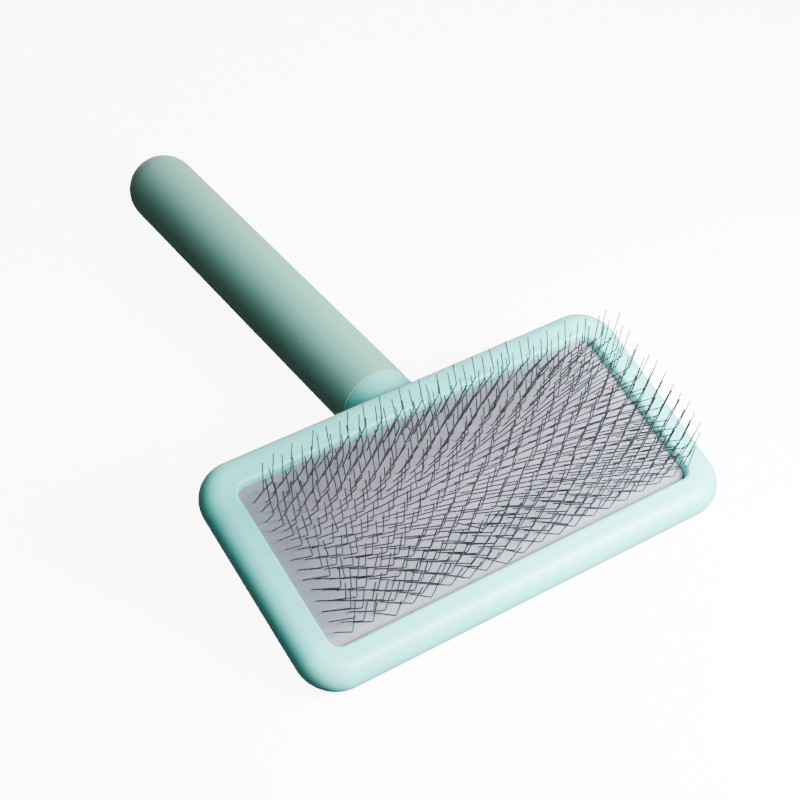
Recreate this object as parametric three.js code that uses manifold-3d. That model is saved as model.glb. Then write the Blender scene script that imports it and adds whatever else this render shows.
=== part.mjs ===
// A large slicker brush for pet grooming: a wide cushioned head with bent wire pins, and a round soft-grip
// handle. Lengths are millimetres. The brush lies on its back, pins up: +Y runs from the head to the handle's
// end, +X along the head, +Z up. The origin is the middle of the box's base.
import * as THREE from "three";
import { mergeGeometries, mergeVertices } from "three/addons/utils/BufferGeometryUtils.js";
import Module from "manifold-3d";

// Head mouldings
const head_length = 160;
const head_width = 82.6;
const head_thickness = 13;
const head_corner_radius = 13.4;
const rim_width_ends = 11;
const rim_width_sides = 11.15;
const opening_corner_radius = 4;
const lip_thickness = 3.6;
const lip_round = 1.4;
const skirt_wall = 2.6;
const skirt_depth = 3.8; // from the rim's widest line down to the joint between frame and shell
const shell_floor = 2;
const locating_wall = 1.4;
const locating_wall_height = 2.1;

// Handle
const handle_radius = 13.2;
const handle_droop = 19.4; // degrees, away from the pins
const handle_drop = 15.5; // the axis lies this far under the rim's widest line where it passes the far edge
const grip_start = 7.2; // along the axis, beyond the head's far edge
const handle_length = 153.5; // along the axis, from the head's far edge to the end dome's centre
const sleeve_wall = 2;
const sleeve_lip_round = 0.6;

// Neck
const neck_radius = 13;
const neck_root = 50; // how far the fairing runs back under the head, along the axis
const neck_root_half_width = 25;
const neck_root_cover = 1.2; // how far the fairing's root is buried in the shell's floor
const neck_flank_power = 3.2; // 1 gives a round flank, more draws it out into a hollow one

// Handle core, its socket and its fastening
const spigot_radius = 6.4;
const spigot_length = 14;
const spigot_chamfer = 1;
const key_width = 3;
const key_height = 1.3;
const core_bore_radius = 8.6;
const core_web_start = 21;
const core_web = 5;
const core_end_gap = 7.5; // from the core's open end to the end dome's centre
const plug_spigot_length = 12;
const handle_screw_radius = 1.5;
const handle_screw_length = 35;
const handle_screw_head_radius = 3.1;
const handle_screw_head_height = 2.1;
const screw_hole_clearance = 0.4;
const screw_seat = 17; // along the axis, from the far edge back to the seat under the washer
const screw_pocket_radius = 4.4;
const screw_washer_radius = 3.9;
const screw_washer_thickness = 0.8;

// Pad
const plate_thickness = 1.8;
const foundation_overlap = 1.2; // how far the foundation reaches under the lip
const foundation_corner_radius = 5;
const cloth_thickness = 1.1;
const rubber_thickness = 1.1;
const crown_height = 7.7;
const crown_power_x = 3;
const crown_power_y = 1.65;
const foam_inset = 0.5;
const foam_draw_in = 0.7;

// Frame screws
const boss_radius = 2.2;
const frame_screw_radius = 0.9;
const frame_screw_length = 5.6;
const frame_screw_head_radius = 1.8;
const frame_screw_head_height = 1;
const long_side_boss_shares = [-0.68, 0, 0.68]; // of half the opening's length
const boss_hole_floor = 1;

// Wire pins, each with a lower leg, a knee and an upper leg
const pin_radius = 0.3;
const pin_sides = 3;
const pin_columns = 28;
const pin_rows = 12;
const pin_margin_ends = 4.6;
const pin_margin_sides = 4.6;
const pin_sunk = 0.4;
const lower_leg = 14.1;
const upper_leg = 13.7;
const band_count = 4;

// How the pins' legs lean, forward towards the handle and sideways towards +X. Each lean is a sum of angles
// in degrees: "middle" as it stands, and the others times the shares that their letters name, so "xxy" is
// times the x share twice and the y share once. The shares are of half the opening's length and width.
const lower_forward = { middle: -22, y: 33, yy: 10, yyy: -17, xx: -6, xxy: -19 };
const lower_side = { middle: 14, y: -31, yy: -17, yyy: 56, x: 6, xy: 8 };
const upper_forward = { yyy: 9, xx: 6 };
const upper_side = { middle: -11, y: -17, yyy: 12, xx: 6, xxx: 12, xxy: 12, xyy: -11 };

// Fits and fineness
const gap = 0.3;
const overrun = 1;
const corner_steps = 8;
const bullnose_steps = 9;
const shell_steps = 5;
const lip_steps = 3;
const turned_sides = 36;
const inner_turned_sides = 24;
const screw_sides = 14;
const neck_sections = 12;
const neck_sides = 32;
const dome_steps = 8;
const inner_dome_steps = 5;
const crown_cells_x = 12;
const crown_cells_y = 8;

// Levels in the head's own frame, whose zero is the rim's widest line
const rim_radius = head_thickness / 2;
const opening_length = head_length - 2 * rim_width_ends;
const opening_width = head_width - 2 * rim_width_sides;
const front_level = rim_radius;
const back_level = -rim_radius;
const lip_under = front_level - lip_thickness;
const joint_level = -skirt_depth;
const floor_level = back_level + shell_floor;
const locating_top = floor_level + locating_wall_height;
const plate_bottom = floor_level + gap;
const plate_top = plate_bottom + plate_thickness;
const cloth_edge = lip_under - gap;
const rubber_edge = cloth_edge - cloth_thickness - gap;
const foam_edge = rubber_edge - rubber_thickness - gap;
const foam_bottom = plate_top + gap;
const boss_bottom = plate_top + gap;
const sleeve_bore = handle_radius - sleeve_wall;
const core_radius = sleeve_bore - gap;
const neck_end = grip_start - gap;
const core_end = handle_length - core_end_gap;

const droop = THREE.MathUtils.degToRad(handle_droop);
const far_edge = head_width / 2;
const half_opening = opening_length / 2;
const half_opening_width = opening_width / 2;
const pin_field_length = opening_length - 2 * pin_margin_ends;
const pin_field_width = opening_width - 2 * pin_margin_sides;
const column_pitch = pin_field_length / (pin_columns - 1);
const row_pitch = pin_field_width / (pin_rows - 1 / 2);

const mint = 0xa9ddd3;
const mint_grip = 0x8fbfb4;
const wasm = await Module();
wasm.setup();

// A closed mesh as a solid for joining and cutting
function solid(geometry) {
  const bare = geometry.index ? geometry.toNonIndexed() : geometry.clone();
  bare.deleteAttribute("normal");
  bare.deleteAttribute("uv");
  const merged = mergeVertices(bare);
  return new wasm.Manifold(
    new wasm.Mesh({
      numProp: 3,
      vertProperties: merged.attributes.position.array,
      triVerts: new Uint32Array(merged.index.array),
    }),
  );
}

// A solid back as a mesh geometry
function geometryOf(body) {
  const mesh = body.getMesh();
  return new THREE.BufferGeometry()
    .setAttribute("position", new THREE.BufferAttribute(new Float32Array(mesh.vertProperties), 3))
    .setIndex(new THREE.BufferAttribute(new Uint32Array(mesh.triVerts), 1));
}

// Rounded rectangle, anticlockwise, with the same number of points for every size
function roundedOutline(length, width, radius) {
  const points = [];
  const quarter = Math.PI / 2;
  const centres = [[1, 1], [-1, 1], [-1, -1], [1, -1]];
  centres.forEach(([side_x, side_y], corner) => {
    for (let step = 0; step <= corner_steps; step++) {
      const angle = quarter * (corner + step / corner_steps);
      points.push([
        side_x * (length / 2 - radius) + radius * Math.cos(angle),
        side_y * (width / 2 - radius) + radius * Math.sin(angle),
      ]);
    }
  });
  return points;
}

// The head's outline drawn in by an inset, at one level
function headRing(inset, level) {
  const radius = head_corner_radius - inset;
  return roundedOutline(head_length - 2 * inset, head_width - 2 * inset, radius)
    .map(([x, y]) => [x, y, level]);
}

// The opening's outline let out by an amount, at one level
function openingRing(out, level) {
  const radius = opening_corner_radius + out;
  return roundedOutline(opening_length + 2 * out, opening_width + 2 * out, radius)
    .map(([x, y]) => [x, y, level]);
}

// Skin over a row of rings with equal numbers of points, closed on itself or capped at both ends
function skin(rings, closed) {
  const count = rings[0].length;
  const position = rings.flat(2);
  const index = [];
  const last = closed ? rings.length : rings.length - 1;
  for (let ring = 0; ring < last; ring++) {
    const next = (ring + 1) % rings.length;
    for (let k = 0; k < count; k++) {
      const a = ring * count + k;
      const b = ring * count + ((k + 1) % count);
      const c = next * count + ((k + 1) % count);
      const d = next * count + k;
      index.push(a, b, c, a, c, d);
    }
  }
  if (!closed) {
    const top = (rings.length - 1) * count;
    for (let k = 1; k < count - 1; k++) {
      index.push(0, k + 1, k);
      index.push(top, top + k, top + k + 1);
    }
  }
  const geometry = new THREE.BufferGeometry();
  geometry.setAttribute("position", new THREE.Float32BufferAttribute(position, 3));
  geometry.setIndex(index);
  return geometry;
}

// Rings of the rim's round edge between two angles, measured up from its widest line
function rimRings(from, to, steps, out) {
  const rings = [];
  const radius = rim_radius + out;
  for (let step = 0; step <= steps; step++) {
    const angle = from + ((to - from) * step) / steps;
    rings.push(headRing(rim_radius - radius * Math.cos(angle), radius * Math.sin(angle)));
  }
  return rings;
}

// A solid prism of a rounded outline between two levels
function prism(length, width, radius, bottom, top) {
  const outline = roundedOutline(length, width, radius);
  return solid(skin([outline.map(([x, y]) => [x, y, bottom]), outline.map(([x, y]) => [x, y, top])], false));
}

// A turned solid about +Z from [radius, height] points that start and end on the axis, going up outside
function turned(profile, sides) {
  const points = profile.map(([r, h]) => new THREE.Vector2(r, h));
  return solid(new THREE.LatheGeometry(points, sides).rotateX(Math.PI / 2));
}

// Quarter-round profile points from one angle to another
function arc(centre_r, centre_h, radius, from, to, steps) {
  const points = [];
  for (let step = 0; step <= steps; step++) {
    const angle = from + ((to - from) * step) / steps;
    points.push([centre_r + radius * Math.cos(angle), centre_h + radius * Math.sin(angle)]);
  }
  return points;
}

// The frame of the handle: +Z runs along its axis away from the head, from the point level with the far edge
const handle_frame = new THREE.Matrix4()
  .makeTranslation(0, far_edge, -handle_drop)
  .multiply(new THREE.Matrix4().makeRotationX(-Math.PI / 2 - droop));

// A solid drawn in the handle's frame, brought to the head's frame
function alongHandle(body) {
  return body.transform(handle_frame.elements);
}

// Where the bosses and their screws stand: along both long sides and at both ends
function bossPlaces() {
  const offset = foundation_overlap + gap + boss_radius;
  const side = half_opening_width + offset;
  const places = [];
  for (const share of long_side_boss_shares) {
    places.push([share * half_opening, side], [share * half_opening, -side]);
  }
  places.push([half_opening + offset, 0], [-half_opening - offset, 0]);
  return places;
}

// Front frame: one ring with a fully rounded rim, a rounded lip and the screw bosses under it
function frontFrame() {
  const joint_angle = -Math.asin(skirt_depth / rim_radius);
  const rings = rimRings(joint_angle, Math.PI / 2, bullnose_steps, 0);
  for (let step = 0; step <= lip_steps; step++) {
    const angle = ((Math.PI / 2) * step) / lip_steps;
    const out = lip_round * (1 - Math.sin(angle));
    rings.push(openingRing(out, front_level - lip_round * (1 - Math.cos(angle))));
  }
  rings.push(openingRing(0, lip_under), headRing(skirt_wall, lip_under), headRing(skirt_wall, joint_level));
  let body = solid(skin(rings, true));
  for (const [x, y] of bossPlaces()) {
    const hole = frame_screw_radius + gap;
    const post = turned([[0, boss_bottom], [boss_radius, boss_bottom], [boss_radius, lip_under + overrun],
      [0, lip_under + overrun]], screw_sides);
    const bore = turned([[0, boss_bottom - overrun], [hole, boss_bottom - overrun],
      [hole, lip_under - boss_hole_floor + lip_round], [0, lip_under - boss_hole_floor + lip_round]],
      screw_sides);
    body = body.add(post.translate([x, y, 0])).subtract(bore.translate([x, y, 0]));
  }
  return geometryOf(body);
}

// Height of the back plane above the handle's axis, measured square to the axis at a station along it
function backAbove(station) {
  return (back_level + handle_drop + station * Math.sin(droop)) / Math.cos(droop);
}

// The neck's fairing: round at the grip, spreading and running out flush with the head's back
function neckFairing() {
  const rings = [];
  const run = neck_end + neck_root;
  const end_slope = -Math.tan(droop) * run;
  for (let section = 0; section <= neck_sections; section++) {
    const u = 1 - section / neck_sections;
    const station = neck_end - u * run;
    const ease = u * u * (3 - 2 * u);
    const back = backAbove(station);
    const bottom = -neck_radius * (1 - ease) + backAbove(-neck_root) * ease + (u * u * u - u * u) * end_slope;
    const middle = back * ease;
    const half_width = neck_radius + (neck_root_half_width - neck_radius) * ease;
    const rise = neck_radius + (neck_root_cover - neck_radius) * ease;
    const depth = Math.max(middle - bottom, 0);
    const power = 1 + (neck_flank_power - 1) * ease;
    const ring = [];
    for (let k = 0; k < neck_sides; k++) {
      const angle = (2 * Math.PI * k) / neck_sides;
      const lift = Math.sin(angle);
      const height = lift > 0 ? rise * lift : -depth * Math.pow(-lift, power);
      // the handle's frame has its own Y pointing down the head's Z
      ring.push([half_width * Math.cos(angle), -(middle + height), station]);
    }
    rings.push(ring.reverse());
  }
  return alongHandle(solid(skin(rings, false)));
}

// Socket, keyway, screw hole and screw pocket in the neck
function neckBores() {
  const socket = spigot_radius + gap;
  const depth = neck_end - spigot_length;
  const hole = handle_screw_radius + screw_hole_clearance;
  const pocket_end = -2 * neck_root;
  const bore = turned([[0, pocket_end], [screw_pocket_radius, pocket_end], [screw_pocket_radius, -screw_seat],
    [hole, -screw_seat], [hole, depth], [socket, depth], [socket, neck_end + overrun],
    [0, neck_end + overrun]], turned_sides);
  const key_length = spigot_length / 2 + overrun;
  const key = new THREE.BoxGeometry(key_width + 2 * gap, 2 * (key_height + gap), key_length);
  key.translate(0, socket, neck_end + overrun - key_length / 2);
  return alongHandle(bore.add(solid(key)));
}

// Back shell: shallow tray with its locating wall and the neck
function backShell() {
  const edge_angle = -Math.asin((skirt_depth + gap) / rim_radius);
  const tongue = skirt_wall + gap;
  const inside = tongue + locating_wall;
  const rings = rimRings(-Math.PI / 2, edge_angle, shell_steps, 0);
  rings.push(headRing(tongue, joint_level - gap), headRing(tongue, locating_top));
  rings.push(headRing(inside, locating_top), headRing(inside, floor_level));
  const tray = solid(skin(rings, false));
  const envelope = solid(skin([
    headRing(rim_radius - (rim_radius + gap) * Math.cos(edge_angle), joint_level - gap),
    ...rimRings(edge_angle, 0, shell_steps, gap),
    headRing(-gap, front_level),
  ], false));
  const cavity = prism(head_length - 2 * inside, head_width - 2 * inside, head_corner_radius - inside,
    floor_level, front_level);
  return geometryOf(tray.add(neckFairing().subtract(envelope).subtract(cavity)).subtract(neckBores()));
}

// Carrier plate with countersunk holes for its screws
function basePlate() {
  const inset = skirt_wall + gap + locating_wall + gap;
  let body = prism(head_length - 2 * inset, head_width - 2 * inset, head_corner_radius - inset,
    plate_bottom, plate_top);
  const hole = frame_screw_radius + gap;
  const sink = frame_screw_head_radius + gap;
  for (const [x, y] of bossPlaces()) {
    const cut = turned([[0, plate_bottom - overrun], [sink, plate_bottom - overrun],
      [sink, plate_bottom + gap], [hole, plate_bottom + gap + frame_screw_head_height],
      [hole, plate_top + overrun], [0, plate_top + overrun]], screw_sides);
    body = body.subtract(cut.translate([x, y, 0]));
  }
  return geometryOf(body);
}

// Countersunk screw, head down, flush with the plate
function frameScrew([x, y]) {
  const top = plate_bottom + frame_screw_length;
  const neck = plate_bottom + frame_screw_head_height;
  const body = turned([[0, plate_bottom], [frame_screw_head_radius, plate_bottom], [frame_screw_radius, neck],
    [frame_screw_radius, top - frame_screw_radius], [frame_screw_radius / 2, top], [0, top]],
    screw_sides);
  return geometryOf(body.translate([x, y, 0]));
}

// Rise of the pad's crown over its edge
function crown(x, y) {
  const share_x = Math.min(Math.abs(x) / half_opening, 1);
  const share_y = Math.min(Math.abs(y) / half_opening_width, 1);
  return crown_height * (1 - Math.pow(share_x, crown_power_x)) * (1 - Math.pow(share_y, crown_power_y));
}

// Grid lines between two ends
function gridLines(from, to, cells) {
  return Array.from({ length: cells + 1 }, (_, k) => from + ((to - from) * k) / cells);
}

// A sheet or block over grid lines whose top follows the crown, with a bottom of its own
function crownedBody(lines_x, lines_y, top_edge, bottomAt) {
  const rows = lines_y.length;
  const position = [];
  for (const level of ["top", "bottom"]) {
    for (const x of lines_x) {
      for (const y of lines_y) {
        const top = top_edge + crown(x, y);
        position.push(x, y, level === "top" ? top : bottomAt(x, y, top));
      }
    }
  }
  const under = lines_x.length * rows;
  const index = [];
  for (let i = 0; i < lines_x.length - 1; i++) {
    for (let j = 0; j < rows - 1; j++) {
      const a = i * rows + j;
      const b = a + rows;
      index.push(a, b, b + 1, a, b + 1, a + 1);
      index.push(under + a, under + b + 1, under + b, under + a, under + a + 1, under + b + 1);
    }
  }
  const side = (p, q) => index.push(p, q + under, q, p, p + under, q + under);
  for (let i = 0; i < lines_x.length - 1; i++) {
    side(i * rows, (i + 1) * rows);
    side((i + 2) * rows - 1, (i + 1) * rows - 1);
  }
  for (let j = 0; j < rows - 1; j++) {
    side(j + 1, j);
    side(under - rows + j, under - rows + j + 1);
  }
  const geometry = new THREE.BufferGeometry();
  geometry.setAttribute("position", new THREE.Float32BufferAttribute(position, 3));
  geometry.setIndex(index);
  return solid(geometry);
}

const foundation_half_length = half_opening + foundation_overlap;
const foundation_half_width = half_opening_width + foundation_overlap;
const lines_y = [-foundation_half_width, ...gridLines(-half_opening_width, half_opening_width, crown_cells_y),
  foundation_half_width];

// A lean in radians at a place on the pad
function leanAt(terms, x, y) {
  const shares = { x: x / half_opening, y: y / half_opening_width };
  let sum = 0;
  for (const [key, angle] of Object.entries(terms)) {
    const letters = key === "middle" ? [] : [...key];
    sum += letters.reduce((value, letter) => value * shares[letter], angle);
  }
  return THREE.MathUtils.degToRad(sum);
}

// The direction of a leg
function legDirection(forward_terms, side_terms, x, y) {
  const forward = leanAt(forward_terms, x, y);
  const side = leanAt(side_terms, x, y);
  const rise = Math.cos(forward);
  return new THREE.Vector3(rise * Math.sin(side), Math.sin(forward), rise * Math.cos(side));
}

// One bent wire leg as a three-sided bar from under the cloth to its tip
function pin(x, y) {
  const lower = legDirection(lower_forward, lower_side, x, y);
  const upper = legDirection(upper_forward, upper_side, x, y);
  const root = new THREE.Vector3(x, y, cloth_edge + crown(x, y));
  const knee = root.clone().addScaledVector(lower, lower_leg);
  const tip = knee.clone().addScaledVector(upper, upper_leg);
  const start = root.clone().addScaledVector(lower, -pin_sunk);
  const across = new THREE.Vector3(1, 0, 0);
  const ring = (centre, direction) => {
    const other = direction.clone().cross(across).normalize();
    return Array.from({ length: pin_sides }, (_, k) => {
      const angle = (2 * Math.PI * k) / pin_sides;
      return centre.clone().addScaledVector(across, pin_radius * Math.cos(angle))
        .addScaledVector(other, pin_radius * Math.sin(angle)).toArray();
    });
  };
  const bisector = lower.clone().add(upper).normalize();
  return skin([ring(start, lower), ring(knee, bisector), ring(tip, upper)], false);
}

// One band of the cloth face with its pins
function pinBand(band) {
  const columns = pin_columns / band_count;
  const edge = (count) => (count - pin_columns / 2) * column_pitch;
  const left = band === 0 ? -foundation_half_length : edge(band * columns) + gap / 2;
  const right = band === band_count - 1 ? foundation_half_length : edge((band + 1) * columns) - gap / 2;
  const inner = gridLines(Math.max(left, -half_opening), Math.min(right, half_opening),
    crown_cells_x / band_count);
  const lines_x = [left, ...inner, right].filter((x, k, all) => k === 0 || x > all[k - 1]);
  const sheet = crownedBody(lines_x, lines_y, cloth_edge, (x, y, top) => top - cloth_thickness);
  const outline = prism(2 * foundation_half_length, 2 * foundation_half_width, foundation_corner_radius,
    back_level, 2 * front_level);
  const pins = [];
  for (let column = band * columns; column < (band + 1) * columns; column++) {
    const stagger = column % 2 ? 1 / 2 : 0;
    for (let row = 0; row < pin_rows; row++) {
      const x = (column + 1 / 2) * column_pitch - (pin_columns * column_pitch) / 2;
      const y = (row + stagger) * row_pitch - pin_field_width / 2;
      pins.push(pin(x, y));
    }
  }
  return geometryOf(sheet.intersect(outline).add(solid(mergeGeometries(pins))));
}

// Rubber ply of the foundation
function rubberPly() {
  const lines_x = [-foundation_half_length, ...gridLines(-half_opening, half_opening, crown_cells_x),
    foundation_half_length];
  const sheet = crownedBody(lines_x, lines_y, rubber_edge, (x, y, top) => top - rubber_thickness);
  const outline = prism(2 * foundation_half_length, 2 * foundation_half_width, foundation_corner_radius,
    back_level, 2 * front_level);
  return geometryOf(sheet.intersect(outline));
}

// Foam block with a crowned top, a flat base and drawn-in sides
function foamCushion() {
  const half_x = half_opening - foam_inset;
  const half_y = half_opening_width - foam_inset;
  const across = gridLines(-half_y, half_y, crown_cells_y);
  const block = crownedBody(gridLines(-half_x, half_x, crown_cells_x), across, foam_edge, () => foam_bottom);
  const waist = (foam_edge + foam_bottom) / 2;
  const outlineAt = (inset, level) => roundedOutline(2 * (half_x - inset), 2 * (half_y - inset),
    opening_corner_radius - inset).map(([x, y]) => [x, y, level]);
  const drawn = solid(skin([outlineAt(0, foam_bottom - overrun), outlineAt(0, foam_bottom),
    outlineAt(foam_draw_in, waist), outlineAt(0, foam_edge), outlineAt(0, 2 * front_level)], false));
  return geometryOf(block.intersect(drawn));
}

// Hollow core with its keyed spigot, open at the far end
function handleCore() {
  const tip = neck_end - spigot_length + gap;
  const pilot = handle_screw_radius + gap;
  const body = turned([[0, core_web_start], [pilot, core_web_start], [pilot, tip],
    [spigot_radius - spigot_chamfer, tip], [spigot_radius, tip + spigot_chamfer],
    [spigot_radius, grip_start], [core_radius, grip_start],
    [core_radius, core_end], [core_bore_radius, core_end], [core_bore_radius, core_web_start + core_web],
    [0, core_web_start + core_web]], inner_turned_sides);
  const key_length = spigot_length / 2 - gap;
  const key = new THREE.BoxGeometry(key_width, key_height, key_length + overrun);
  key.translate(0, spigot_radius + key_height / 2 - gap, neck_end - key_length / 2 + overrun / 2);
  return geometryOf(alongHandle(body.add(solid(key))));
}

// Domed plug in the core's open end
function corePlug() {
  const spigot = core_bore_radius - gap;
  const shoulder = core_end + gap;
  const body = turned([[0, shoulder - plug_spigot_length], [spigot, shoulder - plug_spigot_length],
    [spigot, shoulder], [core_radius, shoulder],
    ...arc(0, handle_length, core_radius, 0, Math.PI / 2, inner_dome_steps).slice(0, -1),
    [0, handle_length + core_radius]], inner_turned_sides);
  return geometryOf(alongHandle(body));
}

// Soft sleeve with a rounded lip at the head and a closed dome at the end
function gripSleeve() {
  const outer = [[sleeve_bore, grip_start],
    ...arc(handle_radius - sleeve_lip_round, grip_start + sleeve_lip_round, sleeve_lip_round, -Math.PI / 2, 0,
      lip_steps),
    ...arc(0, handle_length, handle_radius, 0, Math.PI / 2, dome_steps).slice(0, -1),
    [0, handle_length + handle_radius]];
  const inner = [[0, handle_length + sleeve_bore],
    ...arc(0, handle_length, sleeve_bore, 0, Math.PI / 2, dome_steps).slice(0, -1).reverse()];
  const profile = [...inner, ...outer];
  return geometryOf(alongHandle(turned(profile, turned_sides)));
}

// Washer on the screw's seat
function screwWasher() {
  const inner = handle_screw_radius + gap;
  const low = -screw_seat - gap - screw_washer_thickness;
  const high = -screw_seat - gap;
  const outer = screw_washer_radius;
  const profile = [[inner, high], [inner, low], [outer, low], [outer, high], [inner, high]];
  return geometryOf(alongHandle(turned(profile, inner_turned_sides)));
}

// Pan-head screw from inside the head into the core's spigot
function handleScrew() {
  const under = -screw_seat - 2 * gap - screw_washer_thickness;
  const tip = under + handle_screw_length;
  const body = turned([[0, under - handle_screw_head_height],
    [handle_screw_head_radius - gap, under - handle_screw_head_height],
    [handle_screw_head_radius, under - handle_screw_head_height / 2], [handle_screw_head_radius, under],
    [handle_screw_radius, under], [handle_screw_radius, tip - handle_screw_radius],
    [handle_screw_radius / 2, tip], [0, tip]], inner_turned_sides);
  return geometryOf(alongHandle(body));
}

// A named mesh with its own material
function piece(name, geometry, color, roughness, metalness) {
  const mesh = new THREE.Mesh(geometry, new THREE.MeshStandardMaterial({ color, roughness, metalness }));
  mesh.name = name;
  return mesh;
}

// The surface under the brush touches the near rim's round edge and the end dome: its tilt against the head
function restTilt() {
  const along = far_edge + handle_length * Math.cos(droop) + far_edge - rim_radius;
  const down = handle_drop + handle_length * Math.sin(droop);
  const reach = Math.hypot(along, down);
  return Math.atan2(down, along) + Math.asin((handle_radius - rim_radius) / reach);
}

const brush = new THREE.Group();
brush.add(piece("front_frame", frontFrame(), mint, 0.42, 0));
brush.add(piece("back_shell", backShell(), mint, 0.42, 0));
brush.add(piece("base_plate", basePlate(), 0xd8d8d4, 0.6, 0));
brush.add(piece("foam_cushion", foamCushion(), 0xe8e2cf, 0.95, 0));
brush.add(piece("rubber_ply", rubberPly(), 0x4a4a4c, 0.8, 0));
for (let band = 0; band < band_count; band++) {
  brush.add(piece(`pin_band_${band + 1}`, pinBand(band), 0xb4b2bd, 0.85, 0));
}
bossPlaces().forEach((place, k) => {
  brush.add(piece(`frame_screw_${k + 1}`, frameScrew(place), 0x9a9da0, 0.35, 1));
});
brush.add(piece("handle_core", handleCore(), 0xc9cbc8, 0.55, 0));
brush.add(piece("core_plug", corePlug(), 0xc9cbc8, 0.55, 0));
brush.add(piece("grip_sleeve", gripSleeve(), mint_grip, 0.75, 0));
brush.add(piece("handle_screw", handleScrew(), 0x9a9da0, 0.35, 1));
brush.add(piece("screw_washer", screwWasher(), 0x9a9da0, 0.35, 1));

// Laid on its back: tilted on to its two supports, then moved so that the box's base is centred on the origin
brush.rotation.x = restTilt();
const group = new THREE.Group();
group.add(brush);
const box = new THREE.Box3().setFromObject(group, true);
const centre = box.getCenter(new THREE.Vector3());
brush.position.set(-centre.x, -centre.y, -box.min.z);

export default group;
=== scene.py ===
import math
import random

import bmesh
import bpy
from mathutils import Matrix, Vector, noise


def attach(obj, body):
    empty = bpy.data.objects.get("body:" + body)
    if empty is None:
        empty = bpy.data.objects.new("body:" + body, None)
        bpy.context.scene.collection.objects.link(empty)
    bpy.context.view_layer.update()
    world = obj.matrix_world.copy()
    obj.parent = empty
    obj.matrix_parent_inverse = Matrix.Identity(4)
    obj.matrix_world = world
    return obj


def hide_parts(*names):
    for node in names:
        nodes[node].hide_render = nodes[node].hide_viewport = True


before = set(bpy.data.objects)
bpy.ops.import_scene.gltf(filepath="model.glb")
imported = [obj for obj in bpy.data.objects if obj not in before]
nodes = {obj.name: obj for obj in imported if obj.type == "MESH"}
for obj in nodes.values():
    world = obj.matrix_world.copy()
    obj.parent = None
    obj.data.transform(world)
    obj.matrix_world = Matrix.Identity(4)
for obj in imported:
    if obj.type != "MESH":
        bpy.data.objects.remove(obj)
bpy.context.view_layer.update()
MM = 0.001

# The head's own frame, in which its rim lies level and the handle droops. Lengths in it are millimetres.
TILT = 18.41630847707089
SHIFT = (0, -84.21340749425305, 17.492038463788454)
HEAD = Matrix.Scale(MM, 4) @ Matrix.Translation(SHIFT) @ Matrix.Rotation(math.radians(TILT), 4, "X")

# The mouldings' sizes, as the solids have them
HEAD_LENGTH, HEAD_WIDTH, CORNER_RADIUS = 160, 82.6, 13.4
RIM_RADIUS = 6.5
OPENING_LENGTH, OPENING_WIDTH, OPENING_RADIUS = 138, 60.3, 4
LIP_UNDER, LIP_ROUND = 2.9, 1.4
SKIRT_WALL, SKIRT_DEPTH = 2.6, 3.8
GAP = 0.3
FLOOR_LEVEL = -4.5
LOCATING_TOP, LOCATING_WALL = -2.4, 1.4
PLATE_TOP = -2.4
PARTING_LEDGE, PARTING_TURN = 0.25, math.radians(2)
BOSS_HOLE, BOSS_RADIUS, BOSS_SHARE = 1.2, 2.2, 0.68
HANDLE_RADIUS, SLEEVE_BORE, SLEEVE_ROUND = 13.2, 11.2, 0.6
DROOP, HANDLE_DROP = math.radians(19.4), 15.5
GRIP_START, HANDLE_LENGTH = 7.2, 153.5
NECK_RADIUS, NECK_ROOT, NECK_ROOT_HALF, NECK_COVER, NECK_POWER = 13, 50, 25, 1.2, 3.2
NECK_END = GRIP_START - GAP
PASSAGE_RADIUS, SCREW_HOLE, SCREW_SEAT = 4.4, 1.9, -17
SOCKET_RADIUS, SOCKET_DEPTH = 6.7, 14
# The pad's sizes
CLOTH_EDGE, CLOTH_THICK, PLY_THICK = 2.6, 1.1, 1.1
PLY_EDGE = CLOTH_EDGE - CLOTH_THICK - GAP
FOAM_EDGE = PLY_EDGE - PLY_THICK - GAP
CROWN, CROWN_X, CROWN_Y = 7.7, 3, 1.65
OVERLAP, PAD_RADIUS = 1.2, 5
HALF_X, HALF_Y = OPENING_LENGTH / 2, OPENING_WIDTH / 2

# The handle's frame: Z along its axis away from the head, Y down
HANDLE = (HEAD @ Matrix.Translation((0, HEAD_WIDTH / 2, -HANDLE_DROP))
          @ Matrix.Rotation(-math.pi / 2 - DROOP, 4, "X"))


# Camera, stated in the head's frame, where it was fitted to the photograph
def make_camera():
    azimuth, elevation, roll = math.radians(-50.1582), math.radians(55.72135), math.radians(21.31782)
    distance, target = 611.98073, Vector((-3.4437, 36.01634, 3.7))
    back = Vector((math.sin(azimuth) * math.cos(elevation), -math.cos(azimuth) * math.cos(elevation),
                   math.sin(elevation)))
    right = Vector((math.cos(azimuth), math.sin(azimuth), 0))
    up = back.cross(right)
    turned_right = right * math.cos(roll) + up * math.sin(roll)
    turned_up = up * math.cos(roll) - right * math.sin(roll)
    turn = HEAD.to_3x3() * (1 / MM)
    camera = bpy.data.objects.new("camera", bpy.data.cameras.new("camera"))
    bpy.context.scene.collection.objects.link(camera)
    axes = Matrix((turn @ turned_right, turn @ turned_up, turn @ back)).transposed()
    camera.matrix_world = Matrix.Translation(HEAD @ (target + back * distance)) @ axes.to_4x4()
    camera.data.sensor_width = 36
    camera.data.lens = 1900 / 800 * 36
    camera.data.clip_end = 20
    bpy.context.scene.camera = camera


make_camera()


# Meshes
def smooth(mesh, angle):
    """Shades the mesh smooth, apart from edges sharper than the angle in degrees."""
    for polygon in mesh.polygons:
        polygon.use_smooth = True
    mesh.set_sharp_from_angle(angle=math.radians(angle))


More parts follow.
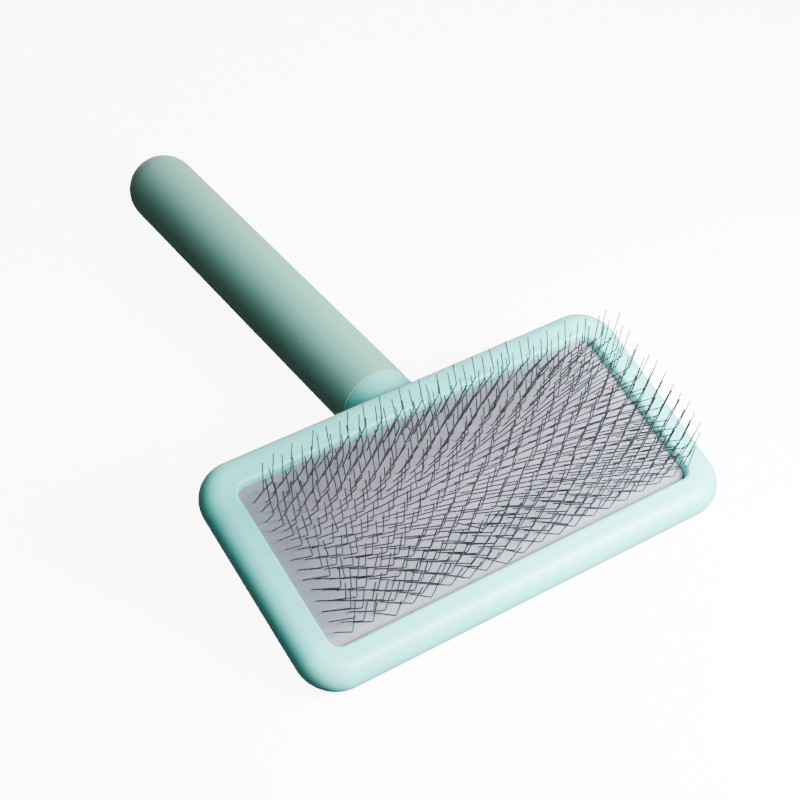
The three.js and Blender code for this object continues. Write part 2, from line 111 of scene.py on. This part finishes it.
def mesh_object(name, points, faces, place=HEAD, angle=35):
    mesh = bpy.data.meshes.new(name)
    mesh.from_pydata([place @ Vector(p) for p in points], [], faces)
    bm = bmesh.new()
    bm.from_mesh(mesh)
    bmesh.ops.remove_doubles(bm, verts=bm.verts, dist=1e-7)
    bmesh.ops.recalc_face_normals(bm, faces=bm.faces)
    bm.to_mesh(mesh)
    bm.free()
    smooth(mesh, angle)
    piece = bpy.data.objects.new(name, mesh)
    bpy.context.scene.collection.objects.link(piece)
    return piece


def skin(rings, closed):
    """Points and faces over rings of equal count: a closed loop of rings, or a stack with a cap on each end."""
    count = len(rings[0])
    points = [p for ring in rings for p in ring]
    faces = []
    last = len(rings) if closed else len(rings) - 1
    for ring in range(last):
        following = (ring + 1) % len(rings)
        for k in range(count):
            after = (k + 1) % count
            faces.append((ring * count + k, ring * count + after,
                          following * count + after, following * count + k))
    if not closed:
        faces.append(tuple(reversed(range(count))))
        faces.append(tuple(range((len(rings) - 1) * count, len(rings) * count)))
    return points, faces


def outline(length, width, radius, steps=20, parts=8, longest=10):
    """A rounded rectangle, with a few points along its straight sides to keep the faces short."""
    points = []
    for corner, (side_x, side_y) in enumerate([(1, 1), (-1, 1), (-1, -1), (1, -1)]):
        for step in range(steps + 1):
            angle = math.pi / 2 * (corner + step / steps)
            points.append((side_x * (length / 2 - radius) + radius * math.cos(angle),
                           side_y * (width / 2 - radius) + radius * math.sin(angle)))
    full = []
    for k, (x, y) in enumerate(points):
        full.append((x, y))
        nx, ny = points[(k + 1) % len(points)]
        if math.hypot(nx - x, ny - y) > longest:
            full += [(x + (nx - x) * t / parts, y + (ny - y) * t / parts) for t in range(1, parts)]
    return full


def head_ring(inset, level):
    ring = outline(HEAD_LENGTH - 2 * inset, HEAD_WIDTH - 2 * inset, CORNER_RADIUS - inset)
    return [(x, y, level) for x, y in ring]


def opening_ring(out, level):
    ring = outline(OPENING_LENGTH + 2 * out, OPENING_WIDTH + 2 * out, OPENING_RADIUS + out)
    return [(x, y, level) for x, y in ring]


def rim_rings(start, end, steps, out=0):
    """Rings over the head's rounded rim, between two angles from its widest line."""
    radius = RIM_RADIUS + out
    rings = []
    for step in range(steps + 1):
        angle = start + (end - start) * step / steps
        rings.append(head_ring(RIM_RADIUS - radius * math.cos(angle), radius * math.sin(angle)))
    return rings


def turned(profile, sides):
    """Rings of a turned form, from the radii and heights of its profile."""
    turns = [2 * math.pi * k / sides for k in range(sides)]
    return [[(radius * math.cos(turn), radius * math.sin(turn), height) for turn in turns]
            for radius, height in profile]


def arc(centre_r, centre_h, radius, start, end, steps):
    return [(centre_r + radius * math.cos(start + (end - start) * t / steps),
             centre_h + radius * math.sin(start + (end - start) * t / steps)) for t in range(steps + 1)]


def join(piece, other):
    bm = bmesh.new()
    bm.from_mesh(piece.data)
    bm.from_mesh(other.data)
    bm.to_mesh(piece.data)
    bm.free()
    bpy.data.objects.remove(other)


def combine(piece, tool, operation):
    """Takes the tool's form from the piece, or adds it, and removes the tool."""
    modifier = piece.modifiers.new("combine", "BOOLEAN")
    modifier.operation = operation
    modifier.solver = "EXACT"
    modifier.object = tool
    graph = bpy.context.evaluated_depsgraph_get()
    mesh = bpy.data.meshes.new_from_object(piece.evaluated_get(graph))
    piece.modifiers.clear()
    piece.data = mesh
    bpy.data.objects.remove(tool)


# Materials
class Nodes:
    """A small helper for building one material's node tree."""

    def __init__(self, name):
        self.material = bpy.data.materials.new(name)
        self.material.use_nodes = True
        self.tree = self.material.node_tree
        self.shader = self.tree.nodes["Principled BSDF"]
        self.object = self.add("ShaderNodeTexCoord").outputs["Object"]

    def add(self, kind, **settings):
        node = self.tree.nodes.new(kind)
        for key, value in settings.items():
            setattr(node, key, value)
        return node

    def link(self, a, b):
        self.tree.links.new(a, b)

    def set(self, **values):
        """Sets the shader's own sockets, with underscores for the spaces in their names."""
        for key, value in values.items():
            self.shader.inputs[key.replace("_", " ")].default_value = value

    def noise(self, scale, detail, rough=0.5):
        node = self.add("ShaderNodeTexNoise")
        node.inputs["Scale"].default_value = scale
        node.inputs["Detail"].default_value = detail
        node.inputs["Roughness"].default_value = rough
        self.link(self.object, node.inputs["Vector"])
        return node.outputs["Fac"]

    def ramp(self, value, low, high, at=(0.35, 0.65)):
        """Spreads the values between the two marks from low to high."""
        node = self.add("ShaderNodeMapRange")
        self.link(value, node.inputs["Value"])
        node.inputs["From Min"].default_value, node.inputs["From Max"].default_value = at
        node.inputs["To Min"].default_value, node.inputs["To Max"].default_value = low, high
        return node.outputs["Result"]

    def mix(self, factor, a, b):
        """Mixes two colours, each given as three numbers or as another node's output."""
        node = self.add("ShaderNodeMix", data_type="RGBA")
        colours = [s for s in node.inputs if s.type == "RGBA"]
        self.link(factor, node.inputs["Factor"])
        for socket, value in zip(colours, (a, b)):
            if isinstance(value, tuple):
                socket.default_value = (*value, 1)
            else:
                self.link(value, socket)
        return [s for s in node.outputs if s.type == "RGBA"][0]

    def math(self, operation, *operands):
        node = self.add("ShaderNodeMath", operation=operation)
        for socket, value in zip(node.inputs, operands):
            if isinstance(value, (int, float)):
                socket.default_value = value
            else:
                self.link(value, socket)
        return node.outputs[0]

    def bump(self, height, strength, distance):
        node = self.add("ShaderNodeBump")
        node.inputs["Strength"].default_value = strength
        node.inputs["Distance"].default_value = distance
        self.link(height, node.inputs["Height"])
        self.link(node.outputs["Normal"], self.shader.inputs["Normal"])

    def colour(self, value):
        self.link(value, self.shader.inputs["Base Color"])

    def rough(self, value):
        self.link(value, self.shader.inputs["Roughness"])


def head_plastic():
    n = Nodes("mint_plastic")
    broad = n.noise(14, 2)
    fine = n.noise(900, 3)
    n.colour(n.mix(n.ramp(broad, 0, 1), (0.122, 0.73, 0.66), (0.134, 0.76, 0.69)))
    n.rough(n.ramp(fine, 0.33, 0.42))
    n.bump(n.math("ADD", n.noise(2200, 2), n.math("MULTIPLY", n.noise(160, 2), 1.5)), 0.12, 0.00003)
    n.set(IOR=1.5, Specular_IOR_Level=0.5)
    return n.material


def grip_rubber():
    n = Nodes("soft_touch_grip")
    broad = n.noise(18, 3)
    fine = n.noise(1600, 3, 0.6)
    n.colour(n.mix(n.ramp(broad, 0, 1), (0.128, 0.37, 0.30), (0.142, 0.394, 0.32)))
    n.rough(n.ramp(fine, 0.52, 0.66))
    n.bump(n.math("ADD", fine, n.noise(4200, 1)), 0.25, 0.00004)
    n.set(IOR=1.47, Specular_IOR_Level=0.4, Sheen_Weight=0.12, Sheen_Roughness=0.5)
    return n.material


THREAD_PITCH = 0.00045


def pad_cloth_material():
    n = Nodes("twill_cloth")
    # The weave lies in the pad's own plane
    turn = n.add("ShaderNodeMapping")
    turn.inputs["Rotation"].default_value = (math.radians(-TILT), 0, 0)
    n.link(n.object, turn.inputs["Vector"])
    axes = n.add("ShaderNodeSeparateXYZ")
    n.link(turn.outputs["Vector"], axes.inputs[0])
    thread = 2 * math.pi / THREAD_PITCH
    warp = n.math("SINE", n.math("MULTIPLY", axes.outputs["X"], thread))
    weft = n.math("SINE", n.math("MULTIPLY", axes.outputs["Y"], thread))
    both = n.math("ADD", axes.outputs["X"], axes.outputs["Y"])
    twill = n.math("SINE", n.math("MULTIPLY", both, thread / 2))
    threads = n.math("MULTIPLY", n.math("ADD", warp, weft), 0.25)
    height = n.math("ADD", n.math("MULTIPLY", twill, 0.5), threads)
    value = n.ramp(height, 0, 1, (-0.9, 0.9))
    fleck = n.noise(1500, 2, 0.6)
    broad = n.noise(30, 3)
    base = n.mix(value, (0.162, 0.168, 0.206), (0.308, 0.316, 0.378))
    tinted = n.mix(n.ramp(broad, 0, 0.35), base, (0.185, 0.172, 0.215))
    n.colour(n.mix(n.ramp(fleck, 0, 0.5, (0.62, 0.8)), tinted, (0.44, 0.44, 0.50)))
    n.bump(height, 0.5, 0.00012)
    n.set(Roughness=0.86, Sheen_Weight=0.25, Sheen_Roughness=0.45, Specular_IOR_Level=0.25)
    return n.material


def pin_wire():
    n = Nodes("drawn_wire")
    along = n.noise(600, 3)
    n.colour(n.mix(n.ramp(along, 0, 1), (0.03, 0.029, 0.031), (0.062, 0.059, 0.062)))
    n.rough(n.ramp(n.noise(2500, 2), 0.36, 0.52))
    n.set(Metallic=0.4, Specular_IOR_Level=0.3)
    return n.material


def plain_plastic(name, dark, light, rough):
    n = Nodes(name)
    n.colour(n.mix(n.ramp(n.noise(40, 3), 0, 1), dark, light))
    n.rough(n.ramp(n.noise(900, 2), rough - 0.05, rough + 0.05))
    n.bump(n.noise(1800, 2), 0.2, 0.00005)
    return n.material


def screw_steel():
    n = Nodes("zinc_steel")
    n.colour(n.mix(n.ramp(n.noise(300, 3), 0, 1), (0.52, 0.53, 0.55), (0.66, 0.67, 0.68)))
    n.rough(n.ramp(n.noise(1500, 3), 0.25, 0.42))
    n.set(Metallic=1.0)
    return n.material


def foam_material():
    n = Nodes("cushion_foam")
    cells = n.add("ShaderNodeTexVoronoi")
    cells.inputs["Scale"].default_value = 1400
    n.link(n.object, cells.inputs["Vector"])
    share = n.ramp(cells.outputs["Distance"], 0, 1, (0.1, 0.6))
    n.colour(n.mix(share, (0.78, 0.74, 0.62), (0.88, 0.85, 0.75)))
    n.bump(cells.outputs["Distance"], 0.6, 0.0004)
    n.set(Roughness=0.95)
    return n.material


mint = head_plastic()
grip = grip_rubber()
cloth = pad_cloth_material()
wire = pin_wire()
natural = plain_plastic("natural_moulding", (0.60, 0.61, 0.58), (0.68, 0.69, 0.66), 0.5)
ply = plain_plastic("ply_rubber", (0.05, 0.05, 0.052), (0.075, 0.075, 0.077), 0.75)
steel = screw_steel()
foam = foam_material()


def dress(piece, material):
    piece.data.materials.clear()
    piece.data.materials.append(material)


def place(piece, material, slot, *replaced):
    """Dresses a piece, fixes it to the brush and hides the solids that it stands for."""
    dress(piece, material)
    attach(piece, "root")
    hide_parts(*replaced)


# Mouldings
def boss_places():
    offset = OVERLAP + GAP + BOSS_RADIUS
    side = HALF_Y + offset
    places = [(share * HALF_X, sign * side) for share in (-BOSS_SHARE, 0, BOSS_SHARE) for sign in (1, -1)]
    return places + [(HALF_X + offset, 0), (-HALF_X - offset, 0)]


def front_frame():
    joint = -math.asin(SKIRT_DEPTH / RIM_RADIUS)
    rings = [head_ring(SKIRT_WALL, -SKIRT_DEPTH),
             head_ring(RIM_RADIUS - RIM_RADIUS * math.cos(joint) + PARTING_LEDGE, -SKIRT_DEPTH)]
    rings += rim_rings(joint + PARTING_TURN, math.pi / 2, 26)
    steps = 8
    for step in range(steps + 1):
        angle = math.pi / 2 * step / steps
        rings.append(opening_ring(LIP_ROUND * (1 - math.sin(angle)),
                                  RIM_RADIUS - LIP_ROUND * (1 - math.cos(angle))))
    rings += [opening_ring(0, LIP_UNDER), head_ring(SKIRT_WALL, LIP_UNDER)]
    piece = mesh_object("frame_moulding", *skin(rings, True))
    low, high = PLATE_TOP + GAP, LIP_UNDER + 0.2
    for k, (x, y) in enumerate(boss_places()):
        profile = [(BOSS_HOLE, low), (BOSS_RADIUS, low), (BOSS_RADIUS, high), (BOSS_HOLE, high)]
        points, faces = skin(turned(profile, 24), True)
        join(piece, mesh_object(f"boss_{k}", [(px + x, py + y, pz) for px, py, pz in points], faces))
    place(piece, mint, "head_plastic", "front_frame")


def back_above(station):
    """How high the head's back lies over the handle's axis, at a station along that axis."""
    return (-RIM_RADIUS + HANDLE_DROP + station * math.sin(DROOP)) / math.cos(DROOP)


def neck_rings(sections=40, sides=96):
    """Sections of the neck, from a flat root inside the head's back to a round collar at the sleeve."""
    run = NECK_END + NECK_ROOT
    end_slope = -math.tan(DROOP) * run
    rings = []
    for section in range(sections + 1):
        u = 1 - section / sections
        station = NECK_END - u * run
        ease = u * u * (3 - 2 * u)
        bottom = -NECK_RADIUS * (1 - ease) + back_above(-NECK_ROOT) * ease + (u ** 3 - u ** 2) * end_slope
        middle = back_above(station) * ease
        half = NECK_RADIUS + (NECK_ROOT_HALF - NECK_RADIUS) * ease
        rise = NECK_RADIUS + (NECK_COVER - NECK_RADIUS) * ease
        depth = max(middle - bottom, 0)
        power = 1 + (NECK_POWER - 1) * ease
        ring = []
        for k in range(sides):
            lift = math.sin(2 * math.pi * k / sides)
            height = rise * lift if lift > 0 else -depth * (-lift) ** power
            ring.append((half * math.cos(2 * math.pi * k / sides), -(middle + height), station))
        rings.append(ring)
    return rings


def back_shell():
    edge = -math.asin((SKIRT_DEPTH + GAP) / RIM_RADIUS)
    tongue = SKIRT_WALL + GAP
    inside = tongue + LOCATING_WALL
    rings = rim_rings(-math.pi / 2, edge - PARTING_TURN, 16)
    rings += [head_ring(RIM_RADIUS - RIM_RADIUS * math.cos(edge) + PARTING_LEDGE, -SKIRT_DEPTH - GAP),
              head_ring(tongue, -SKIRT_DEPTH - GAP), head_ring(tongue, LOCATING_TOP),
              head_ring(inside, LOCATING_TOP), head_ring(inside, FLOOR_LEVEL)]
    tray = mesh_object("shell_moulding", *skin(rings, False))
    neck = mesh_object("neck", *skin(neck_rings(), False), place=HANDLE)
    # The neck keeps clear of the frame and of the tray's inside
    envelope_rings = [head_ring(RIM_RADIUS - (RIM_RADIUS + GAP) * math.cos(edge), -SKIRT_DEPTH - GAP)]
    envelope_rings += rim_rings(edge, 0, 12, GAP) + [head_ring(-GAP, RIM_RADIUS)]
    combine(neck, mesh_object("envelope", *skin(envelope_rings, False)), "DIFFERENCE")
    cavity = [head_ring(inside, level) for level in (FLOOR_LEVEL, RIM_RADIUS)]
    combine(neck, mesh_object("cavity", *skin(cavity, False)), "DIFFERENCE")
    combine(tray, neck, "UNION")
    # The screw's passage, its hole and the core's socket, on the handle's axis
    socket_floor = NECK_END - SOCKET_DEPTH
    bore = [(PASSAGE_RADIUS, -NECK_ROOT), (PASSAGE_RADIUS, SCREW_SEAT), (SCREW_HOLE, SCREW_SEAT),
            (SCREW_HOLE, socket_floor), (SOCKET_RADIUS, socket_floor), (SOCKET_RADIUS, NECK_END + 1)]
    combine(tray, mesh_object("bore", *skin(turned(bore, 64), False), place=HANDLE), "DIFFERENCE")
    smooth(tray.data, 40)
    place(tray, mint, "head_plastic", "back_shell")


def grip_sleeve():
    # The dome's arcs end just short of the axis, and caps close them there
    dome_end, steps, parts = math.radians(89.8), 24, 30
    outer = [(SLEEVE_BORE, GRIP_START)]
    outer += arc(HANDLE_RADIUS - SLEEVE_ROUND, GRIP_START + SLEEVE_ROUND, SLEEVE_ROUND, -math.pi / 2, 0, 8)
    outer += [(HANDLE_RADIUS, GRIP_START + (HANDLE_LENGTH - GRIP_START) * t / parts) for t in range(1, parts)]
    outer += arc(0, HANDLE_LENGTH, HANDLE_RADIUS, 0, dome_end, steps)
    inner = list(reversed(arc(0, HANDLE_LENGTH, SLEEVE_BORE, 0, dome_end, steps)))
    piece = mesh_object("sleeve_moulding", *skin(turned(inner + outer, 128), False), place=HANDLE)
    place(piece, grip, "grip_rubber", "grip_sleeve")


front_frame()
back_shell()
grip_sleeve()


# Pad
def crown(x, y):
    """How far the pad rises over its edge's level."""
    share_x, share_y = min(abs(x) / HALF_X, 1), min(abs(y) / HALF_Y, 1)
    return CROWN * (1 - share_x ** CROWN_X) * (1 - share_y ** CROWN_Y)


def rounded(x, y, half_x, half_y, radius):
    """Moves a point of a rectangle's corner square on to the corner's arc."""
    u, v = abs(x) - (half_x - radius), abs(y) - (half_y - radius)
    if u > 0 and v > 0:
        shrink = max(u, v) / math.hypot(u, v)
        x = math.copysign(half_x - radius + u * shrink, x)
        y = math.copysign(half_y - radius + v * shrink, y)
    return x, y


def ease_lines(half, cells):
    """Grid lines that draw closer together towards the edges."""
    return [half * math.sin(math.pi / 2 * (2 * k / cells - 1)) * 0.35 + half * (2 * k / cells - 1) * 0.65
            for k in range(cells + 1)]


def sheet_body(name, half_x, half_y, radius, cells_x, cells_y, top, bottom, sides=()):
    """A closed body over a grid: top and bottom surfaces, and rings of (inset, level share) between them."""
    lines_x, lines_y = ease_lines(half_x, cells_x), ease_lines(half_y, cells_y)
    grid = [[rounded(x, y, half_x, half_y, radius) for y in lines_y] for x in lines_x]
    points, faces = [], []
    for surface in (top, bottom):
        points += [(x, y, surface(x, y)) for column in grid for x, y in column]
    rows = cells_y + 1
    under = (cells_x + 1) * rows
    for i in range(cells_x):
        for j in range(cells_y):
            a, b = i * rows + j, (i + 1) * rows + j
            faces.append((a, b, b + 1, a + 1))
            faces.append((under + a, under + a + 1, under + b + 1, under + b))
    edge = [(i, 0) for i in range(cells_x)] + [(cells_x, j) for j in range(cells_y)]
    edge += [(i, cells_y) for i in range(cells_x, 0, -1)] + [(0, j) for j in range(cells_y, 0, -1)]
    loops = [[i * rows + j for i, j in edge]]
    for inset, share in sides:
        loop = []
        for i, j in edge:
            x, y = grid[i][j]
            high, low = top(x, y), bottom(x, y)
            loop.append(len(points))
            points.append((x - math.copysign(inset, x) * (abs(x) > half_x - radius),
                           y - math.copysign(inset, y) * (abs(y) > half_y - radius),
                           high + (low - high) * share))
        loops.append(loop)
    loops.append([under + i * rows + j for i, j in edge])
    for upper, lower in zip(loops, loops[1:]):
        for k in range(len(edge)):
            after = (k + 1) % len(edge)
            faces.append((upper[k], lower[k], lower[after], upper[after]))
    return mesh_object(name, points, faces, angle=50)


PUFF_PITCH, PUFF_HEIGHT = 9, 0.16


def cloth_top(x, y):
    rise = crown(x, y)
    puff = noise.noise(Vector((x / PUFF_PITCH, y / PUFF_PITCH, 0.3))) * PUFF_HEIGHT * min(rise, 1)
    return CLOTH_EDGE + rise + puff


pad_half_x, pad_half_y = HALF_X + OVERLAP, HALF_Y + OVERLAP
pad = sheet_body("pad_cloth", pad_half_x, pad_half_y, PAD_RADIUS, 120, 60, cloth_top,
                 lambda x, y: CLOTH_EDGE + crown(x, y) - CLOTH_THICK)
place(pad, cloth, "pad_cloth", "pin_band_1", "pin_band_2", "pin_band_3", "pin_band_4")

under = sheet_body("pad_ply", pad_half_x, pad_half_y, PAD_RADIUS, 60, 30, lambda x, y: PLY_EDGE + crown(x, y),
                   lambda x, y: PLY_EDGE + crown(x, y) - PLY_THICK)
place(under, ply, "ply_rubber", "rubber_ply")

FOAM_ROOM = 0.5
cushion = sheet_body("pad_foam", HALF_X - FOAM_ROOM, HALF_Y - FOAM_ROOM, OPENING_RADIUS, 60, 30,
                     lambda x, y: FOAM_EDGE + crown(x, y), lambda x, y: PLATE_TOP + GAP,
                     [(0.4, 0.2), (0.7, 0.5), (0.4, 0.8)])
place(cushion, foam, "foam", "foam_cushion")

# Pins
COLUMNS, ROWS = 39, 14
FIRST_X, PITCH_X, FIRST_Y, PITCH_Y = -64.6, 3.37, -24.5, 3.745
LOWER_LEG, UPPER_LEG = 14.1, 13.7
WIRE_RADIUS, WIRE_SIDES, KNEE = 0.218, 6, 0.9
WILD_SHARE, WILD_FACTOR = 0.012, 4
LOWER_SCATTER, UPPER_SCATTER = 1.3, 1.7

# How the legs lean, in degrees, forward towards the handle and sideways towards +X. "middle" stands as it is.
# The other angles are times the shares that their letters name: "xxy" is times the x share twice and the y
# share once.
LOWER_FORWARD = {"middle": -22, "y": 33, "yy": 10, "yyy": -17, "xx": -6, "xxy": -19}
LOWER_SIDE = {"middle": 14, "y": -31, "yy": -17, "yyy": 56, "x": 6, "xy": 8}
UPPER_FORWARD = {"yyy": 9, "xx": 6}
UPPER_SIDE = {"middle": -11, "y": -17, "yyy": 12, "xx": 6, "xxx": 12, "xxy": 12, "xyy": -11}


def lean_at(terms, x, y):
    """A leg's lean in degrees where its root stands."""
    shares = {"x": x / HALF_X, "y": y / HALF_Y}
    total = 0
    for key, angle in terms.items():
        letters = "" if key == "middle" else key
        total += angle * math.prod(shares[letter] for letter in letters)
    return total


def direction(forward, side):
    """The way a leg runs, from its two leans in degrees."""
    a, b = math.radians(forward), math.radians(side)
    return Vector((math.cos(a) * math.sin(b), math.sin(a), math.cos(a) * math.cos(b)))


def tube(points, radius, sides, out_points, out_faces):
    """Adds a round wire along the points, drawn in a little at its tip."""
    start = len(out_points)
    across = Vector((1, 0, 0))
    for k, point in enumerate(points):
        before, after = points[max(k - 1, 0)], points[min(k + 1, len(points) - 1)]
        along = (after - before).normalized()
        first = (across - along * across.dot(along)).normalized()
        second = along.cross(first)
        size = radius * (0.6 if k == len(points) - 1 else 1)
        for s in range(sides):
            angle = 2 * math.pi * s / sides
            out_points.append(point + first * (size * math.cos(angle)) + second * (size * math.sin(angle)))
    for k in range(len(points) - 1):
        for s in range(sides):
            a, b = start + k * sides + s, start + k * sides + (s + 1) % sides
            out_faces.append((a, b, b + sides, a + sides))
    out_faces.append(tuple(start + s for s in reversed(range(sides))))
    end = start + (len(points) - 1) * sides
    out_faces.append(tuple(end + s for s in range(sides)))


def make_pins():
    rng = random.Random(11)
    points, faces = [], []
    for column in range(COLUMNS):
        for row in range(ROWS):
            x = FIRST_X + column * PITCH_X + rng.gauss(0, 0.12)
            y = FIRST_Y + (row + 0.5 * (column % 2)) * PITCH_Y + rng.gauss(0, 0.1)
            wild = WILD_FACTOR if rng.random() < WILD_SHARE else 1
            low = direction(lean_at(LOWER_FORWARD, x, y) + rng.gauss(0, LOWER_SCATTER) * wild,
                            lean_at(LOWER_SIDE, x, y) + rng.gauss(0, LOWER_SCATTER) * wild)
            high = direction(lean_at(UPPER_FORWARD, x, y) + rng.gauss(0, UPPER_SCATTER) * wild,
                             lean_at(UPPER_SIDE, x, y) + rng.gauss(0, UPPER_SCATTER) * wild)
            root = Vector((x, y, cloth_top(x, y)))
            knee = root + low * (LOWER_LEG + rng.gauss(0, 0.15))
            tip = knee + high * (UPPER_LEG + rng.gauss(0, 0.25))
            before, after = knee - low * KNEE, knee + high * KNEE
            bend = [before * (1 - t) ** 2 + knee * 2 * t * (1 - t) + after * t * t
                    for t in (0, 0.25, 0.5, 0.75, 1)]
            tube([root - low * 0.7, *bend, tip - high * 0.12, tip], WIRE_RADIUS, WIRE_SIDES, points, faces)
    piece = mesh_object("wire_pins", points, faces, angle=60)
    place(piece, wire, "pin_wire", "pin_band_1", "pin_band_2", "pin_band_3", "pin_band_4")


make_pins()

# The solids that stay as they are
for name, node in nodes.items():
    if name.startswith(("frame_screw", "handle_screw", "screw_washer")):
        dress(node, steel)
    elif name in ("base_plate", "handle_core", "core_plug"):
        dress(node, natural)


# Stage
STAGE_SIZE, STAGE_GLOW, WORLD_STRENGTH = 3, 9, 0.12
LIGHTS_AIM = Vector((0, -0.06, 0.03))


def pale_ground(piece, name):
    """Dresses a piece of the stage in an evenly glowing white that doesn't light the brush."""
    n = Nodes(name)
    n.set(Base_Color=(0.9, 0.9, 0.9, 1), Roughness=0.9, Specular_IOR_Level=0.1,
          Emission_Color=(1, 1, 1, 1), Emission_Strength=STAGE_GLOW)
    dress(piece, n.material)
    piece.visible_diffuse = piece.visible_glossy = False


def make_floor():
    size = STAGE_SIZE
    mesh = bpy.data.meshes.new("floor")
    corners = [(-size, -size, 0), (size, -size, 0), (size, size, 0), (-size, size, 0)]
    mesh.from_pydata(corners, [], [(0, 1, 2, 3)])
    floor = bpy.data.objects.new("floor", mesh)
    bpy.context.scene.collection.objects.link(floor)
    floor.location.z = -0.0002
    pale_ground(floor, "pale_floor")


def make_backdrop(turns=48, lifts=12):
    """A dome round the stage, for the views from the side. Only the camera sees it."""
    lift_angles = [math.pi / 2 * t / lifts for t in range(lifts)]
    profile = [(STAGE_SIZE * math.cos(lift), STAGE_SIZE * math.sin(lift) - 0.001) for lift in lift_angles]
    dome = mesh_object("backdrop", *skin(turned(profile, turns), False), place=Matrix.Identity(4), angle=60)
    dome.visible_transmission = dome.visible_shadow = False
    pale_ground(dome, "pale_backdrop")


def make_world():
    world = bpy.data.worlds.new("studio")
    bpy.context.scene.world = world
    world.use_nodes = True
    background = world.node_tree.nodes["Background"]
    background.inputs["Color"].default_value = (1, 1, 1, 1)
    background.inputs["Strength"].default_value = WORLD_STRENGTH


def area_light(name, place, size, power):
    data = bpy.data.lights.new(name, "AREA")
    data.size = size
    data.energy = power
    light = bpy.data.objects.new(name, data)
    bpy.context.scene.collection.objects.link(light)
    light.location = place
    light.rotation_euler = (light.location - LIGHTS_AIM).to_track_quat("Z", "Y").to_euler()


make_floor()
make_backdrop()
make_world()
area_light("key", (0.18, -0.30, 0.20), 0.18, 7.2)
area_light("upper", (0.08, -0.35, 0.30), 0.2, 3.6)
area_light("back", (0.20, 0.50, 0.12), 0.4, 2.0)
